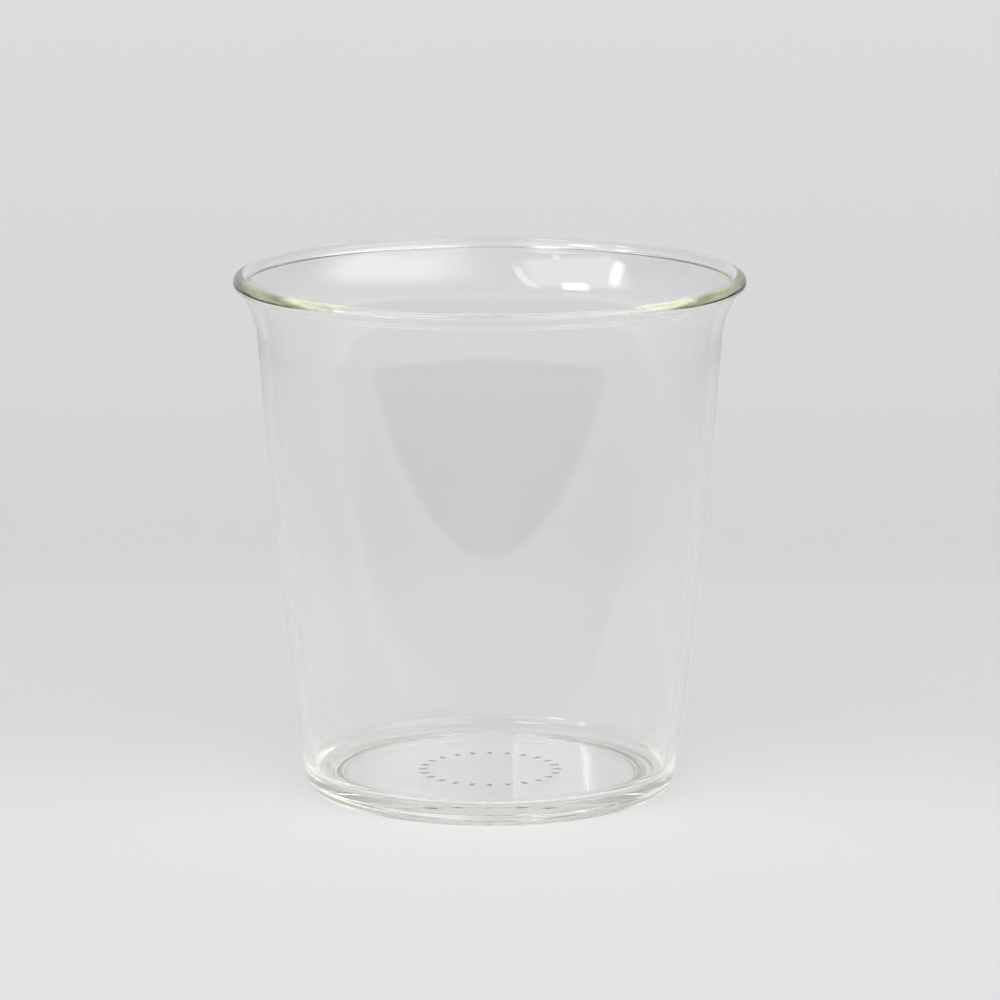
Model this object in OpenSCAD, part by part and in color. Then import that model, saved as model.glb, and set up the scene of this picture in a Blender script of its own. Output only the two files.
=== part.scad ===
// Cortado glass: one blown and fire-polished tumbler with a printed mark under its base.
// Millimetres, +Z up, origin on the table at the centre of the base.

/* [Wall and lip] */
// Outer diameter over the lip
lip_d = 75; // [72:0.5:78]
// Overall height, from the table to the top of the lip
height = 76.8; // [72:0.2:82]
// Reach of the lip beyond the neck, where the wall starts to flare
flare_w = 3.5; // [3:0.1:4.5]
// Outer diameter of the wall at the table, before the corner is rounded
foot_d = 54.2; // [50:0.2:58]
// Height of the flared band under the lip
flare_h = 9.3; // [8:0.1:11]
// Bulge of the wall beyond a straight cone, at mid height
wall_bow = 0.6; // [0.2:0.05:1]
// Thickness of the wall
wall_t = 1.6; // [1.4:0.1:1.8]
// Thickness of the rounded bead at the lip
lip_t = 2.2; // [2:0.1:2.6]
// Radius of the crease on each face, where the wall runs into the bead
crease_r = 1.2; // [0.8:0.1:1.6]

/* [Base] */
// Height of the floor inside, above the table
floor_h = 2.75; // [2.5:0.05:3.4]
// Radius of the outer corner at the foot
foot_r = 2.2; // [1.6:0.1:2.8]
// Radius of the corner between the floor and the wall, inside
floor_r = 2.5; // [1.5:0.1:4]
// Width of the flat ring that stands on the table
land_w = 1.6; // [1:0.1:2.4]
// Depth of the hollow inside the standing ring
hollow_h = 1.4; // [0.8:0.1:1.6]
// Radius of the two soft bends from the standing ring up into the hollow
hollow_bend_r = 1.4; // [1:0.1:2]

/* [Base mark] */
// Mean diameter of the printed ring of dashes
mark_d = 20; // [16:0.5:26]
// Width of a dash, along the radius
dash_w = 1.2; // [0.8:0.1:2]
// Length of a dash, in degrees round the ring
dash_arc = 4; // [2:0.5:6]
// Dashes, evenly spaced round the ring
dashes = 24; // [12:2:36]
// Thickness of the print
print_t = 0.05; // [0.03:0.01:0.1]

/* [Hidden] */

$fn = 180;
wall_steps = 14;
bend_steps = 12;
crease_steps = 6;

// The wall is one shallow arc from the foot to the neck, round a centre far inside.
neck_d = lip_d - 2 * flare_w;
neck_z = height - flare_h;
chord = norm([neck_d / 2 - foot_d / 2, neck_z]);
chord_lean = atan2(neck_d / 2 - foot_d / 2, neck_z);
wall_arc_r = (chord * chord / 4 + wall_bow * wall_bow) / (2 * wall_bow);
wall_half_angle = asin(chord / 2 / wall_arc_r);
wall_c = [foot_d / 2 + neck_d / 2, neck_z] / 2
    - (wall_arc_r - wall_bow) * [cos(chord_lean), -sin(chord_lean)];
inner_arc_r = wall_arc_r - wall_t;
neck_lean = chord_lean - wall_half_angle;

// The foot's corner touches the table and the outer wall.
foot_lean = asin((wall_c.y - foot_r) / (wall_arc_r - foot_r));
foot_c = [wall_c.x + (wall_arc_r - foot_r) * cos(foot_lean), foot_r];

// The floor's corner touches the floor and the inner wall.
floor_corner_z = floor_h + floor_r;
floor_lean = asin((wall_c.y - floor_corner_z) / (inner_arc_r - floor_r));
floor_c = [wall_c.x + (inner_arc_r - floor_r) * cos(floor_lean), floor_corner_z];

// The flare bends outward from the middle of the wall to the middle of the bead.
lip_r = lip_t / 2;
lip_c = [lip_d / 2 - lip_r, height - lip_r];
neck_mid = wall_c + (wall_arc_r - wall_t / 2) * [cos(neck_lean), -sin(neck_lean)];
flare_chord = lip_c - neck_mid;
flare_lean = atan2(flare_chord.x, flare_chord.y);
lip_lean = 2 * flare_lean - neck_lean;
flare_r = norm(flare_chord) / 2 / sin(flare_lean - neck_lean);
flare_c = neck_mid + flare_r * [cos(neck_lean), -sin(neck_lean)];

// Two equal bends lead from the standing ring up to the hollow's flat ceiling.
land_r = foot_c.x - land_w;
hollow_turn = acos(1 - hollow_h / (2 * hollow_bend_r));
land_bend_c = [land_r, hollow_bend_r];
ceiling_bend_c = [land_r - 2 * hollow_bend_r * sin(hollow_turn), hollow_h - hollow_bend_r];

// Points of an arc round a centre, from angle a0 to angle a1, less those skipped at its two ends.
function arc(c, r, a0, a1, steps, skip = [0, 0]) =
    [for (i = [skip[0]:steps - skip[1]])
        let (a = a0 + (a1 - a0) * i / steps)
        c + r * [cos(a), sin(a)]];

// Angle at corner a of a triangle with sides a to b, a to c and b to c.
function corner(ab, ac, bc) = acos((ab * ab + ac * ac - bc * bc) / (2 * ab * ac));

// A crease touches one face of the flare and the bead. side is -1 outside and 1 inside.
function crease_reach(side) = flare_r + side * (wall_t / 2 + crease_r);
function crease_lean(side) = lip_lean - corner(flare_r, crease_reach(side), lip_r + crease_r);
function crease_turn(side) = lip_lean + corner(flare_r, lip_r + crease_r, crease_reach(side));
function crease_c(side) =
    let (lean = crease_lean(side))
    flare_c - crease_reach(side) * [cos(lean), -sin(lean)];

outside = -1;
inside = 1;
between = [1, 1];

// Half section of the glass, from the middle of the underside round to the middle of the floor.
section = concat(
    [[0, hollow_h]],
    arc(ceiling_bend_c, hollow_bend_r, 90, 90 - hollow_turn, bend_steps),
    arc(land_bend_c, hollow_bend_r, -90 - hollow_turn, -90, bend_steps, skip = [1, 0]),
    arc(foot_c, foot_r, -90, -foot_lean, bend_steps),
    arc(wall_c, wall_arc_r, -foot_lean, -neck_lean, wall_steps, skip = between),
    arc(flare_c, flare_r - wall_t / 2, 180 - neck_lean, 180 - crease_lean(outside), bend_steps),
    arc(crease_c(outside), crease_r, 180 - crease_lean(outside), 180 - crease_turn(outside),
        crease_steps, skip = between),
    arc(lip_c, lip_r, -crease_turn(outside), 360 - crease_turn(inside), 2 * bend_steps),
    arc(crease_c(inside), crease_r, 180 - crease_turn(inside), -crease_lean(inside),
        crease_steps, skip = between),
    arc(flare_c, flare_r + wall_t / 2, 180 - crease_lean(inside), 180 - neck_lean, bend_steps),
    arc(wall_c, inner_arc_r, -neck_lean, -floor_lean, wall_steps, skip = between),
    arc(floor_c, floor_r, -floor_lean, -90, bend_steps),
    [[0, floor_h]]
);

module glass() {
    color("azure", 0.4)
        rotate_extrude()
            polygon(section);
}

module dash(at) {
    rotate([0, 0, at - dash_arc / 2])
        rotate_extrude(angle = dash_arc)
            translate([mark_d / 2 - dash_w / 2, hollow_h - print_t])
                square([dash_w, print_t]);
}

module base_mark() {
    color("dimgray")
        for (i = [0:dashes - 1])
            dash(i * 360 / dashes);
}

glass();
base_mark();
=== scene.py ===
"""Looks of a clear cortado glass: a fire-polished tumbler with a ring of dashes printed under its base."""
import math

import bpy
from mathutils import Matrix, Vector


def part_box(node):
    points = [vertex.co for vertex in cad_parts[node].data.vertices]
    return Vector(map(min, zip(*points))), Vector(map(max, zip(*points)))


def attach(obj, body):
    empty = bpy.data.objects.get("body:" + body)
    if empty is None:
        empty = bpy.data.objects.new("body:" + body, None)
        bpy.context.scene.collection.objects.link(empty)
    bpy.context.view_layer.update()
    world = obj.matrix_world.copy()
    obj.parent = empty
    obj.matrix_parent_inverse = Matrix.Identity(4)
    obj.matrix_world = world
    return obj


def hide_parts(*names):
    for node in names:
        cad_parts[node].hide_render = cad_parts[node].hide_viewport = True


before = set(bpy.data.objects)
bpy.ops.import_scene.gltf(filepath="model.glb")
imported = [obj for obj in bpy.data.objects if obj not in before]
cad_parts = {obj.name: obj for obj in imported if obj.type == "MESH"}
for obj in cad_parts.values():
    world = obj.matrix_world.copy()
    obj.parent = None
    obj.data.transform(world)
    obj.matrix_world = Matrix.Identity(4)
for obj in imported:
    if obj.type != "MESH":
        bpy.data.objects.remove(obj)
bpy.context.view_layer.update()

MM = 0.001


def degrees(*angles):
    """These angles, given in degrees, as a tuple of radians."""
    return tuple(math.radians(angle) for angle in angles)


# Section of the glass, as in the part's source, but with the print sunk a little into the glass. The lip,
# the height and the hollow come from the frame.
_, GLASS_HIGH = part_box("glass")
_, MARK_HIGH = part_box("base_mark")
LIP_R = GLASS_HIGH.x
HEIGHT = GLASS_HIGH.z
FLARE_W = 3.5 * MM
FLARE_H = 9.3 * MM
NECK_R = LIP_R - FLARE_W
FOOT_R = 27.1 * MM
WALL_BOW = 0.6 * MM
WALL_T = 1.6 * MM
LIP_T = 2.2 * MM
CREASE_R = 1.2 * MM
FLOOR_H = 2.75 * MM
FOOT_CORNER = 2.2 * MM
FLOOR_CORNER = 2.5 * MM
LAND_W = 1.6 * MM
PRINT_SINK = 0.02 * MM
HOLLOW_H = MARK_HIGH.z - PRINT_SINK
HOLLOW_BEND = 1.4 * MM

# Fineness of the turned mesh
TURN_STEPS = 256
WALL_STEPS = 60
BEND_STEPS = 20
FLAT_STEPS = 12

# Clear glass, with shallow waves
GLASS_IOR = 1.47
GLASS_TINT = (0.93, 0.98, 0.80, 1)
GLASS_DENSITY = 6
GLASS_ROUGHNESS = (0, 0.006)
WAVE_SCALE = 25
WAVE_DETAIL = 1
WAVE_DEPTH = 0.002 * MM

# Fired print, with a fine grain
PRINT_GREYS = ((0.14, 0.14, 0.14, 1), (0.3, 0.3, 0.3, 1))
PRINT_ROUGHNESS = (0.4, 0.7)
GRAIN_SCALE = 1500
GRAIN_DETAIL = 3
GRAIN_DEPTH = 0.01 * MM

# Parts of a noise's range that are spread over the roughness and over the greys
ROUGH_SPAN = (0.3, 0.7)
GREY_SPAN = (0.35, 0.65)

# Camera fitted to the outline of the glass in the photo
CAMERA_AT = Vector((1.5, -877.2, 216.2)) * MM
CAMERA_PITCH = 0.195
LENS_PX = 6072
IMAGE_PX = 1000
SENSOR_MM = 36

# Pale sheet on the table, with its grey at places along Y: painted light and shade, lighter in front of
# the glass and darkest in a band behind it, as shade where a backdrop bends up
FLOOR_R = 1.6
FLOOR_STEPS = 96
FLOOR_Z = -0.05 * MM
SHEET_LIGHT_AND_SHADE = ((-0.045, 0.782), (0.06, 0.714), (0.12, 0.702), (0.18, 0.675), (0.42, 0.703), (1.0, 0.727))

# Edges of the sheet in the glass's reflections: a bowed one in front and one on each side
FRONT_Y = -0.130
FRONT_BLUR = 0.002
FRONT_BOW = 0.006
FRONT_BOW_X = 0.13
FRONT_TURN = math.radians(64)
FRONT_TURN_BLUR = 0.08
RIGHT_X = 0.72
LEFT_X = 0.545
LEFT_SLANT = 0.5
SIDE_BLUR = 0.04

# Painted shade: mirrored grey that the far sheet fades to beside and behind the glass, as the light falls
# off there. The lit wall of the mirrored room fades to it too
SIDE_SHADE_GREY = 0.42
FADE_REACH = (0.25, 0.5)
FADE_TURN = degrees(80, 100)

# Mirrored room beyond the sheet: dark, a pale strip of ground, dark again, then grey. A height is the Z of
# a unit direction, and a turn is an angle round the glass from the camera's side.
DARK_ROOM = 0.015
STRIP = 0.4
STRIP_START = (-0.33, -0.26)
STRIP_END = (-0.16, -0.07)
FAR_ROOM = 0.45
FAR_HEIGHTS = (-0.07, 0.035)
SIDE_ROOM = 0.25
SIDE_ROOM_TURN = degrees(55, 105)

# Mirrored wall, lit down to an edge that falls away on both sides of EDGE_TURN
LIT_WALL = 0.9
DIM_WALL = 0.5
DIM_HEIGHTS = (0.06, 0.16)
EDGE_HEIGHT = math.radians(1.87)
EDGE_TURN = math.radians(-2)
EDGE_FALL = 0.036
EDGE_BLUR = 0.004

# Mirrored room high up, the ceiling and the tent behind the glass
HIGH_FRONT = 0.3
HIGH_SIDE = 0.05
HIGH_TURN = degrees(30, 75)
HIGH_HEIGHTS = (0.26, 0.52)
CEILING = 0.45
CEILING_HEIGHTS = (0.8, 1)
TENT = 0.68
TENT_TURN = degrees(140, 170)

# Light from all round, light from the front, and the backdrop as it is seen
FILL = 0.5
KEY = 2.26
BACKDROP = 0.7

# Cards of light round the glass, with the lamps a little nearer
CARD_AT = Vector((0, 0, 0.06))
CARD_R = 0.6
CARD_SOFT = 0.5
CARD_STEPS = 16
LAMP_R = 0.95 * CARD_R
LAMP_SOFT = 0.6

# Most bounces of a light path, and a depth that tells none from one
BOUNCES = 128
NO_BOUNCE = 0.5


def arc(centre, radius, start, end, steps, skip=(0, 0)):
    """Points of an arc in the section plane, from one angle to another, less those skipped at its ends."""
    angles = (start + (end - start) * i / steps for i in range(skip[0], steps + 1 - skip[1]))
    return [centre + radius * Vector((math.cos(a), math.sin(a))) for a in angles]


def line(start, end, steps):
    """Points along a straight stretch, without its ends."""
    return [start.lerp(end, i / steps) for i in range(1, steps)]


def lean(angle):
    """Outward direction square to a wall that leans out by this angle."""
    return Vector((math.cos(angle), -math.sin(angle)))


def corner(ab, ac, bc):
    """Angle at corner a of a triangle with these sides."""
    return math.acos((ab * ab + ac * ac - bc * bc) / (2 * ab * ac))


def glass_section():
    """Half section of the glass, from the middle of the underside round to the middle of the floor."""
    up = math.pi / 2
    down = -up
    between = (1, 1)

    # Wall: one shallow arc from the foot to the neck
    neck_z = HEIGHT - FLARE_H
    run = Vector((NECK_R - FOOT_R, neck_z))
    run_lean = math.atan2(run.x, run.y)
    wall_r = (run.length ** 2 / 4 + WALL_BOW ** 2) / (2 * WALL_BOW)
    wall_c = Vector((FOOT_R + NECK_R, neck_z)) / 2 - (wall_r - WALL_BOW) * lean(run_lean)
    inner_r = wall_r - WALL_T
    neck_lean = run_lean - math.asin(run.length / 2 / wall_r)

    # Corners of the foot and of the floor inside
    foot_lean = math.asin((wall_c.y - FOOT_CORNER) / (wall_r - FOOT_CORNER))
    foot_c = Vector((wall_c.x + (wall_r - FOOT_CORNER) * math.cos(foot_lean), FOOT_CORNER))
    floor_z = FLOOR_H + FLOOR_CORNER
    floor_lean = math.asin((wall_c.y - floor_z) / (inner_r - FLOOR_CORNER))
    floor_c = Vector((wall_c.x + (inner_r - FLOOR_CORNER) * math.cos(floor_lean), floor_z))

    # Flare: an arc from the middle of the wall to the middle of the bead
    bead_r = LIP_T / 2
    lip_c = Vector((LIP_R - bead_r, HEIGHT - bead_r))
    neck_mid = wall_c + (wall_r - WALL_T / 2) * lean(neck_lean)
    rise = lip_c - neck_mid
    rise_lean = math.atan2(rise.x, rise.y)
    lip_lean = 2 * rise_lean - neck_lean
    flare_r = rise.length / 2 / math.sin(rise_lean - neck_lean)
    flare_c = neck_mid + flare_r * lean(neck_lean)

    # Creases: arcs that touch one face of the flare and the bead. The side is -1 outside and 1 inside.
    def crease(side):
        reach = flare_r + side * (WALL_T / 2 + CREASE_R)
        crease_lean = lip_lean - corner(flare_r, reach, bead_r + CREASE_R)
        turn = lip_lean + corner(flare_r, bead_r + CREASE_R, reach)
        return flare_c - reach * lean(crease_lean), crease_lean, turn

    out_c, out_lean, out_turn = crease(-1)
    in_c, in_lean, in_turn = crease(1)

    # Underside: two equal bends from the standing ring up to the hollow
    land_r = foot_c.x - LAND_W
    bend_turn = math.acos(1 - HOLLOW_H / (2 * HOLLOW_BEND))
    land_c = Vector((land_r, HOLLOW_BEND))
    ceiling_c = Vector((land_r - 2 * HOLLOW_BEND * math.sin(bend_turn), HOLLOW_H - HOLLOW_BEND))

    ceiling = arc(ceiling_c, HOLLOW_BEND, up, up - bend_turn, BEND_STEPS)
    land = arc(land_c, HOLLOW_BEND, down - bend_turn, down, BEND_STEPS, skip=(1, 0))
    foot = arc(foot_c, FOOT_CORNER, down, -foot_lean, BEND_STEPS)
    floor = arc(floor_c, FLOOR_CORNER, -floor_lean, down, BEND_STEPS)
    under_middle = Vector((0, HOLLOW_H))
    floor_middle = Vector((0, FLOOR_H))
    return [
        under_middle,
        *line(under_middle, ceiling[0], FLAT_STEPS),
        *ceiling,
        *land,
        *line(land[-1], foot[0], FLAT_STEPS),
        *foot,
        *arc(wall_c, wall_r, -foot_lean, -neck_lean, WALL_STEPS, between),
        *arc(flare_c, flare_r - WALL_T / 2, math.pi - neck_lean, math.pi - out_lean, BEND_STEPS),
        *arc(out_c, CREASE_R, math.pi - out_lean, math.pi - out_turn, BEND_STEPS, between),
        *arc(lip_c, bead_r, -out_turn, 2 * math.pi - in_turn, 2 * BEND_STEPS),
        *arc(in_c, CREASE_R, math.pi - in_turn, -in_lean, BEND_STEPS, between),
        *arc(flare_c, flare_r + WALL_T / 2, math.pi - in_lean, math.pi - neck_lean, BEND_STEPS),
        *arc(wall_c, inner_r, -neck_lean, -floor_lean, WALL_STEPS, between),
        *floor,
        *line(floor[-1], floor_middle, FLAT_STEPS),
        floor_middle,
    ]


def turned_mesh(name, section, steps):
    """Mesh of a section turned about Z, whose first and last points lie on the axis."""
    turns = [2 * math.pi * k / steps for k in range(steps)]
    rings = section[1:-1]
    points = [(p.x * math.cos(t), p.x * math.sin(t), p.y) for p in rings for t in turns]
    first, last = len(points), len(points) + 1
    points += [(0, 0, section[0].y), (0, 0, section[-1].y)]
    faces = []
    for k in range(steps):
        n = (k + 1) % steps
        for row in range(len(rings) - 1):
            low, high = row * steps, (row + 1) * steps
            faces.append((low + k, low + n, high + n, high + k))
        top = (len(rings) - 1) * steps
        faces.append((first, n, k))
        faces.append((last, top + k, top + n))
    mesh = bpy.data.meshes.new(name)
    mesh.from_pydata(points, [], faces)
    mesh.polygons.foreach_set("use_smooth", [True] * len(mesh.polygons))
    mesh.validate()
    return mesh


def add_object(name, data):
    obj = bpy.data.objects.new(name, data)
    bpy.context.scene.collection.objects.link(obj)
    return obj


def new_material(name):
    """A material, its node tree and the output node, which is the only node in it."""
    material = bpy.data.materials.new(name)
    material.use_nodes = True
    tree = material.node_tree
    tree.nodes.clear()
    return material, tree, tree.nodes.new("ShaderNodeOutputMaterial")


def feed(tree, socket, value):
    """Give an input its value, which is a socket or a number."""
    if isinstance(value, bpy.types.NodeSocket):
        tree.links.new(value, socket)
    else:
        socket.default_value = value


def math_node(tree, operation, first, second=0):
    """Output of a Math node. Each input is a socket or a number."""
    node = tree.nodes.new("ShaderNodeMath")
    node.operation = operation
    feed(tree, node.inputs[0], first)
    feed(tree, node.inputs[1], second)
    return node.outputs[0]


def map_range(tree, value, low, high, to_low=0.0, to_high=1.0):
    """Output that eases from to_low to to_high while the value goes from low to high."""
    node = tree.nodes.new("ShaderNodeMapRange")
    node.interpolation_type = "SMOOTHSTEP"
    node.inputs["From Min"].default_value = low
    node.inputs["From Max"].default_value = high
    node.inputs["To Min"].default_value = to_low
    node.inputs["To Max"].default_value = to_high
    tree.links.new(value, node.inputs["Value"])
    return node.outputs["Result"]


def grey_mix(tree, factor, first, second):
    """Output of a mix of two greys, each a socket or a number."""
    node = tree.nodes.new("ShaderNodeMix")
    tree.links.new(factor, node.inputs["Factor"])
    feed(tree, node.inputs["A"], first)
    feed(tree, node.inputs["B"], second)
    return node.outputs["Result"]


def shader_mix(tree, factor, first, second):
    """Output of a mix of two shader nodes."""
    node = tree.nodes.new("ShaderNodeMixShader")
    tree.links.new(factor, node.inputs[0])
    tree.links.new(first.outputs[0], node.inputs[1])
    tree.links.new(second.outputs[0], node.inputs[2])
    return node.outputs[0]


def split_vector(tree, vector):
    """The X, Y and Z of a vector."""
    node = tree.nodes.new("ShaderNodeSeparateXYZ")
    tree.links.new(vector, node.inputs[0])
    return node.outputs["X"], node.outputs["Y"], node.outputs["Z"]


def noise(tree, scale, detail):
    """Factor of a noise that is fixed to the object."""
    place = tree.nodes.new("ShaderNodeTexCoord")
    texture = tree.nodes.new("ShaderNodeTexNoise")
    texture.inputs["Scale"].default_value = scale
    texture.inputs["Detail"].default_value = detail
    tree.links.new(place.outputs["Object"], texture.inputs["Vector"])
    return texture.outputs[0]


def bump(tree, height, depth):
    """Normal of a surface that rises by up to this depth."""
    node = tree.nodes.new("ShaderNodeBump")
    node.inputs["Strength"].default_value = 1
    node.inputs["Distance"].default_value = depth
    tree.links.new(height, node.inputs["Height"])
    return node.outputs["Normal"]


def glass_material():
    """Clear glass, a little wavy from blowing, with a faint green in its depth."""
    material, tree, output = new_material("clear_glass")
    shader = tree.nodes.new("ShaderNodeBsdfPrincipled")
    shader.inputs["Base Color"].default_value = (1, 1, 1, 1)
    shader.inputs["Transmission Weight"].default_value = 1
    shader.inputs["IOR"].default_value = GLASS_IOR
    waves = noise(tree, WAVE_SCALE, WAVE_DETAIL)
    tree.links.new(map_range(tree, waves, *ROUGH_SPAN, *GLASS_ROUGHNESS), shader.inputs["Roughness"])
    tree.links.new(bump(tree, waves, WAVE_DEPTH), shader.inputs["Normal"])
    volume = tree.nodes.new("ShaderNodeVolumeAbsorption")
    volume.inputs["Color"].default_value = GLASS_TINT
    volume.inputs["Density"].default_value = GLASS_DENSITY
    tree.links.new(shader.outputs["BSDF"], output.inputs["Surface"])
    tree.links.new(volume.outputs["Volume"], output.inputs["Volume"])
    return material


def print_material():
    """Thin grey enamel with uneven cover."""
    material, tree, output = new_material("fired_print")
    shader = tree.nodes.new("ShaderNodeBsdfPrincipled")
    grain = noise(tree, GRAIN_SCALE, GRAIN_DETAIL)
    tone = tree.nodes.new("ShaderNodeMix")
    tone.data_type = "RGBA"
    tree.links.new(map_range(tree, grain, *GREY_SPAN), tone.inputs["Factor"])
    tone.inputs["A"].default_value, tone.inputs["B"].default_value = PRINT_GREYS
    tree.links.new(tone.outputs["Result"], shader.inputs["Base Color"])
    tree.links.new(map_range(tree, grain, *ROUGH_SPAN, *PRINT_ROUGHNESS), shader.inputs["Roughness"])
    tree.links.new(bump(tree, grain, GRAIN_DEPTH), shader.inputs["Normal"])
    tree.links.new(shader.outputs["BSDF"], output.inputs["Surface"])
    return material


def without_diffuse(tree, path, share):
    """The share where the light path holds no diffuse bounce, and 0 where it holds one."""
    clean = math_node(tree, "LESS_THAN", path["Diffuse Depth"], NO_BOUNCE)
    return math_node(tree, "MULTIPLY", share, clean)


def mirrored(tree):
    """1 for what the glass mirrors towards the camera, and 0 for what is seen directly or gives light."""
    path = tree.nodes.new("ShaderNodeLightPath").outputs
    bounced = math_node(tree, "GREATER_THAN", path["Glossy Depth"], NO_BOUNCE)
    sharp = math_node(tree, "MAXIMUM", path["Is Glossy Ray"], path["Is Transmission Ray"])
    return without_diffuse(tree, path, math_node(tree, "MULTIPLY", bounced, sharp))


def seen(tree):
    """1 for what the camera sees directly or through the glass, and 0 for what gives light."""
    path = tree.nodes.new("ShaderNodeLightPath").outputs
    direct = math_node(tree, "MAXIMUM", path["Is Camera Ray"], path["Is Transmission Ray"])
    return without_diffuse(tree, path, direct)


def turn_of(tree, x, y):
    """Angle round the glass, from the camera's side and growing towards +X."""
    return math_node(tree, "ARCTAN2", x, math_node(tree, "MULTIPLY", y, -1))


def painted_sheet_light_and_shade(tree, along):
    """Grey of the sheet, which changes a little from front to back: painted light in front of the glass
    and painted shade in a band behind it.
    """
    tone = SHEET_LIGHT_AND_SHADE[0][1]
    for (start, _), (end, grey) in zip(SHEET_LIGHT_AND_SHADE, SHEET_LIGHT_AND_SHADE[1:]):
        tone = grey_mix(tree, map_range(tree, along, start, end), tone, grey)
    return tone


def far_side_shade(tree, place, azimuth):
    """Mask of the painted shade on the sheet: 1 far off beside and behind the glass, and 0 near it or in
    front.
    """
    reach = tree.nodes.new("ShaderNodeVectorMath")
    reach.operation = "LENGTH"
    tree.links.new(place, reach.inputs[0])
    far = map_range(tree, reach.outputs["Value"], *FADE_REACH)
    return math_node(tree, "MULTIPLY", far, map_range(tree, azimuth, *FADE_TURN))


def beyond_sheet(tree, across, along, azimuth):
    """1 beyond the sheet's front edge, which bows, and beyond its right and left edges. 0 on the sheet."""
    bow = map_range(tree, math_node(tree, "ABSOLUTE", across), 0, FRONT_BOW_X, 0, FRONT_BOW)
    edge = math_node(tree, "ADD", along, bow)
    ahead = map_range(tree, edge, FRONT_Y + FRONT_BLUR, FRONT_Y - FRONT_BLUR)
    middle = map_range(tree, azimuth, FRONT_TURN + FRONT_TURN_BLUR, FRONT_TURN - FRONT_TURN_BLUR)
    in_front = math_node(tree, "MULTIPLY", ahead, middle)
    right = map_range(tree, across, RIGHT_X - SIDE_BLUR, RIGHT_X + SIDE_BLUR)
    slant = math_node(tree, "MULTIPLY", along, LEFT_SLANT)
    leftward = math_node(tree, "SUBTRACT", slant, across)
    left = map_range(tree, leftward, LEFT_X - SIDE_BLUR, LEFT_X + SIDE_BLUR)
    return math_node(tree, "MAXIMUM", in_front, math_node(tree, "MAXIMUM", right, left))


def floor_material():
    """Pale sheet whose grey holds painted light and shade, with painted shade far off beside and behind
    the glass in the glass's reflections. In the glass's reflections it ends a little in front of the glass
    and on each side.
    """
    material, tree, output = new_material("pale_sheet")
    place = tree.nodes.new("ShaderNodeNewGeometry").outputs["Position"]
    across, along, _ = split_vector(tree, place)
    azimuth = math_node(tree, "ABSOLUTE", turn_of(tree, across, along))
    in_mirror = mirrored(tree)
    # Painted shade: in reflections the sheet darkens far off beside and behind the glass
    fade = math_node(tree, "MULTIPLY", far_side_shade(tree, place, azimuth), in_mirror)
    sheet = tree.nodes.new("ShaderNodeBsdfDiffuse")
    # Painted light and shade along Y, mixed with the painted side shade in reflections
    tree.links.new(grey_mix(tree, fade, painted_sheet_light_and_shade(tree, along), SIDE_SHADE_GREY), sheet.inputs["Color"])
    ended = math_node(tree, "MULTIPLY", beyond_sheet(tree, across, along, azimuth), in_mirror)
    clear = tree.nodes.new("ShaderNodeBsdfTransparent")
    tree.links.new(shader_mix(tree, ended, sheet, clear), output.inputs["Surface"])
    return material


def dark_room(tree, azimuth, height):
    """Brightness of the room beyond the sheet, which is even at the sides."""
    strip = map_range(tree, height, *STRIP_START, DARK_ROOM, STRIP)
    ground = grey_mix(tree, map_range(tree, height, *STRIP_END), strip, DARK_ROOM)
    front = grey_mix(tree, map_range(tree, height, *FAR_HEIGHTS), ground, FAR_ROOM)
    return grey_mix(tree, map_range(tree, azimuth, *SIDE_ROOM_TURN), front, SIDE_ROOM)


def lit_wall(tree, azimuth, height):
    """Brightness of the wall, which is dimmer high up and fades at the sides."""
    wall = map_range(tree, height, *DIM_HEIGHTS, LIT_WALL, DIM_WALL)
    return grey_mix(tree, map_range(tree, azimuth, *FADE_TURN), wall, SIDE_SHADE_GREY)


def above_edge(tree, turn, height):
    """1 above the lower edge of the lit wall, and 0 below it."""
    off = math_node(tree, "SUBTRACT", turn, EDGE_TURN)
    fall = math_node(tree, "MULTIPLY", math_node(tree, "MULTIPLY", off, off), EDGE_FALL)
    over = math_node(tree, "ADD", height, fall)
    return map_range(tree, over, EDGE_HEIGHT - EDGE_BLUR, EDGE_HEIGHT + EDGE_BLUR)


def mirrored_room(tree, across, along, height):
    """Brightness of the room in a direction, as the glass mirrors it."""
    turn = turn_of(tree, across, along)
    azimuth = math_node(tree, "ABSOLUTE", turn)
    lit = above_edge(tree, turn, height)
    room = grey_mix(tree, lit, dark_room(tree, azimuth, height), lit_wall(tree, azimuth, height))
    high = map_range(tree, azimuth, *HIGH_TURN, HIGH_FRONT, HIGH_SIDE)
    room = grey_mix(tree, map_range(tree, height, *HIGH_HEIGHTS), room, high)
    room = grey_mix(tree, map_range(tree, height, *CEILING_HEIGHTS), room, CEILING)
    return grey_mix(tree, map_range(tree, azimuth, *TENT_TURN), room, TENT)


def make_world():
    """Soft light, stronger from the front, the plain backdrop, and the room that the glass mirrors."""
    world = bpy.data.worlds.new("studio")
    bpy.context.scene.world = world
    world.use_nodes = True
    tree = world.node_tree
    tree.nodes.clear()
    output = tree.nodes.new("ShaderNodeOutputWorld")
    background = tree.nodes.new("ShaderNodeBackground")
    way = tree.nodes.new("ShaderNodeTexCoord").outputs["Generated"]
    across, along, height = split_vector(tree, way)
    facing = math_node(tree, "MAXIMUM", math_node(tree, "MULTIPLY", along, -1), 0)
    light = math_node(tree, "ADD", math_node(tree, "MULTIPLY", facing, KEY), FILL)
    plain = grey_mix(tree, seen(tree), light, BACKDROP)
    room = mirrored_room(tree, across, along, height)
    tree.links.new(grey_mix(tree, mirrored(tree), plain, room), background.inputs["Color"])
    tree.links.new(background.outputs["Background"], output.inputs["Surface"])


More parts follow.
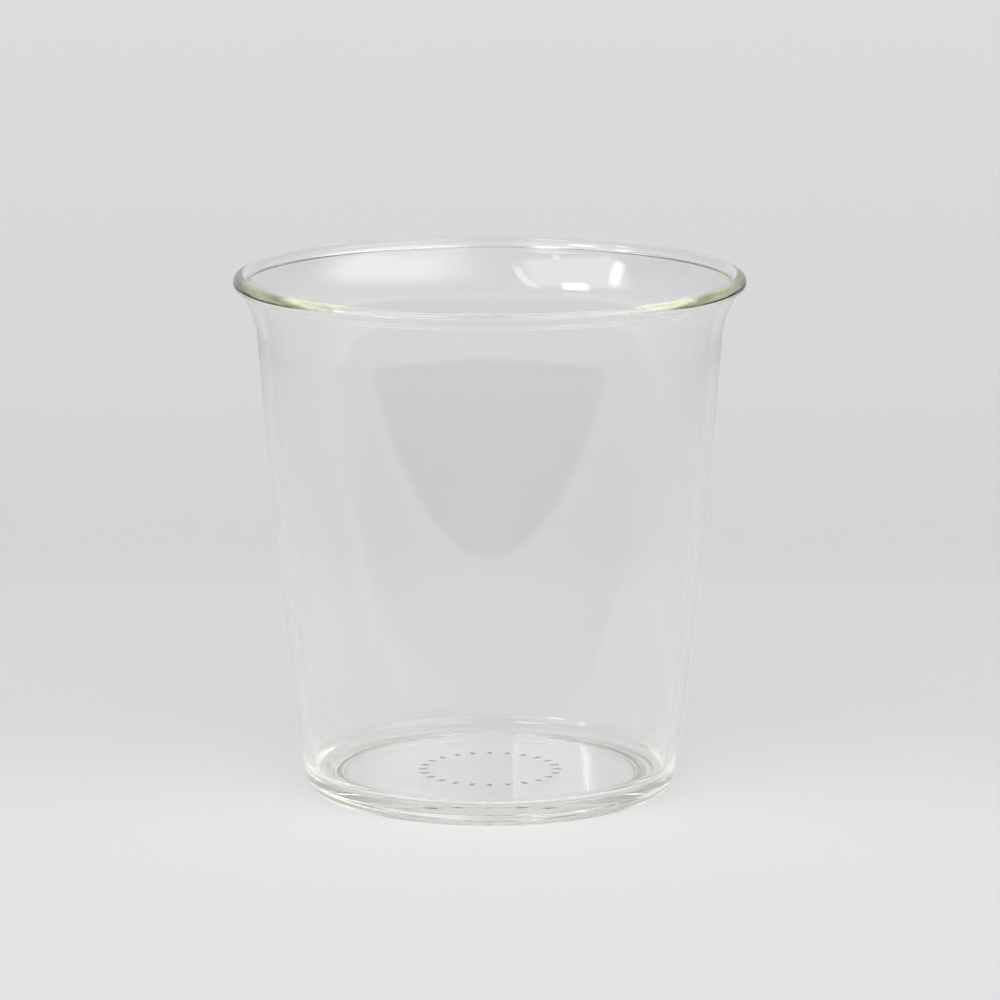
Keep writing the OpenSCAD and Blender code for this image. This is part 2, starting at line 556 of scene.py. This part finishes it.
def card_material(name, strength, soft):
    """Glow that shows only in reflections and fades towards the card's edges."""
    material, tree, output = new_material(name)
    lengthwise, sideways, _ = split_vector(tree, tree.nodes.new("ShaderNodeUVMap").outputs["UV"])
    fade = mirrored(tree)
    for offset in (lengthwise, sideways):
        distance = math_node(tree, "ABSOLUTE", offset)
        fade = math_node(tree, "MULTIPLY", fade, map_range(tree, distance, 1, 1 - soft))
    glow = tree.nodes.new("ShaderNodeEmission")
    glow.inputs["Strength"].default_value = strength
    clear = tree.nodes.new("ShaderNodeBsdfTransparent")
    tree.links.new(shader_mix(tree, fade, clear, glow), output.inputs["Surface"])
    return material


def direction(azimuth, elevation):
    """Unit vector. Azimuth 0 faces the camera and grows towards +X."""
    a, e = degrees(azimuth, elevation)
    return Vector((math.sin(a) * math.cos(e), -math.cos(a) * math.cos(e), math.sin(e)))


def bend(path, t):
    """Place at share t of a bend through three places, and the unit vector square to the bend there."""
    start, middle, end = (Vector(place) for place in path)
    at = start * (1 - t) * (1 - 2 * t) + middle * 4 * t * (1 - t) + end * t * (2 * t - 1)
    along = start * (4 * t - 3) + middle * (4 - 8 * t) + end * (4 * t - 1)
    return at, Vector((-along.y, along.x)).normalized()


def card_mesh(name, path, half_width, radius):
    """Curved band round the glass. Its UV runs from -1 to 1 along it and across it."""
    shares = [i / CARD_STEPS for i in range(CARD_STEPS + 1)]
    points = []
    offsets = []
    for t in shares:
        at, square = bend(path, t)
        for s in shares:
            side = 2 * s - 1
            points.append(CARD_AT + radius * direction(*(at + square * half_width * side)))
            offsets.append((2 * t - 1, side))
    row = len(shares)
    firsts = [i * row + j for i in range(CARD_STEPS) for j in range(CARD_STEPS)]
    faces = [(first, first + 1, first + row + 1, first + row) for first in firsts]
    mesh = bpy.data.meshes.new(name)
    mesh.from_pydata(points, [], faces)
    layer = mesh.uv_layers.new(name="across")
    for loop in mesh.loops:
        layer.data[loop.index].uv = offsets[loop.vertex_index]
    return mesh


def make_card(name, path, half_width, strength, soft=CARD_SOFT, radius=CARD_R):
    """Band of light along a bend through three places, each an azimuth and an elevation in degrees."""
    mesh = card_mesh(name, path, half_width, radius)
    mesh.materials.append(card_material(name, strength, soft))
    card = add_object(name, mesh)
    card.visible_camera = False
    card.visible_diffuse = False
    card.visible_shadow = False


def make_lamp(name, path, half_width, strength):
    """Small bright card, nearer than the large ones."""
    make_card(name, path, half_width, strength, LAMP_SOFT, LAMP_R)


def make_cards():
    """Soft boxes and lamps beside the camera, as the glass mirrors them."""
    make_card("soft_panel", ((-10, 44), (62, 38), (112, 46)), half_width=27, strength=2.8, soft=0.7)
    make_card("window", ((-85, 32), (-50, 32), (-15, 32)), half_width=20, strength=1.9, soft=0.3)
    make_lamp("lamp_near", ((-15, 47), (-19, 24), (-29, 12)), half_width=3.5, strength=3)
    make_lamp("lamp_low", ((-56, 16), (-47, 16), (-38, 16)), half_width=5, strength=12)
    make_lamp("lamp_side", ((-85, 44), (-74, 30), (-70, 14)), half_width=4, strength=7)
    make_lamp("lamp_high", ((-46, 51), (-43, 51), (-40, 51)), half_width=2.5, strength=5)
    make_card("top_lamp", ((-75, 66), (-50, 66), (-30, 66)), half_width=10, strength=6)
    make_card("top_panel", ((10, 68), (50, 68), (90, 68)), half_width=10, strength=3)


def make_floor():
    """Round floor just under the glass."""
    turns = [2 * math.pi * k / FLOOR_STEPS for k in range(FLOOR_STEPS)]
    points = [(FLOOR_R * math.cos(t), FLOOR_R * math.sin(t), FLOOR_Z) for t in turns]
    mesh = bpy.data.meshes.new("floor")
    mesh.from_pydata(points, [], [list(range(FLOOR_STEPS))])
    mesh.materials.append(floor_material())
    floor = add_object("floor", mesh)


def make_camera():
    data = bpy.data.cameras.new("camera")
    data.sensor_width = SENSOR_MM
    data.lens = LENS_PX / IMAGE_PX * SENSOR_MM
    camera = add_object("camera", data)
    camera.location = CAMERA_AT
    camera.rotation_euler = (math.pi / 2 - CAMERA_PITCH, 0, 0)
    bpy.context.scene.camera = camera


def dress_glass():
    """Finer mesh of the glass, in place of its node."""
    mesh = turned_mesh("tumbler", glass_section(), TURN_STEPS)
    mesh.materials.append(glass_material())
    tumbler = add_object("tumbler", mesh)
    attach(tumbler, "root")
    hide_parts("glass")


def dress_mark():
    """Enamel on the node of the dashes."""
    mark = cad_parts["base_mark"]
    mark.data.materials.clear()
    mark.data.materials.append(print_material())


bpy.context.scene.view_settings.view_transform = "Standard"
bpy.context.scene.cycles.blur_glossy = 0
bpy.context.scene.cycles.max_bounces = BOUNCES
bpy.context.scene.cycles.glossy_bounces = BOUNCES
bpy.context.scene.cycles.transmission_bounces = BOUNCES
make_camera()
make_world()
make_floor()
make_cards()
dress_glass()
dress_mark()
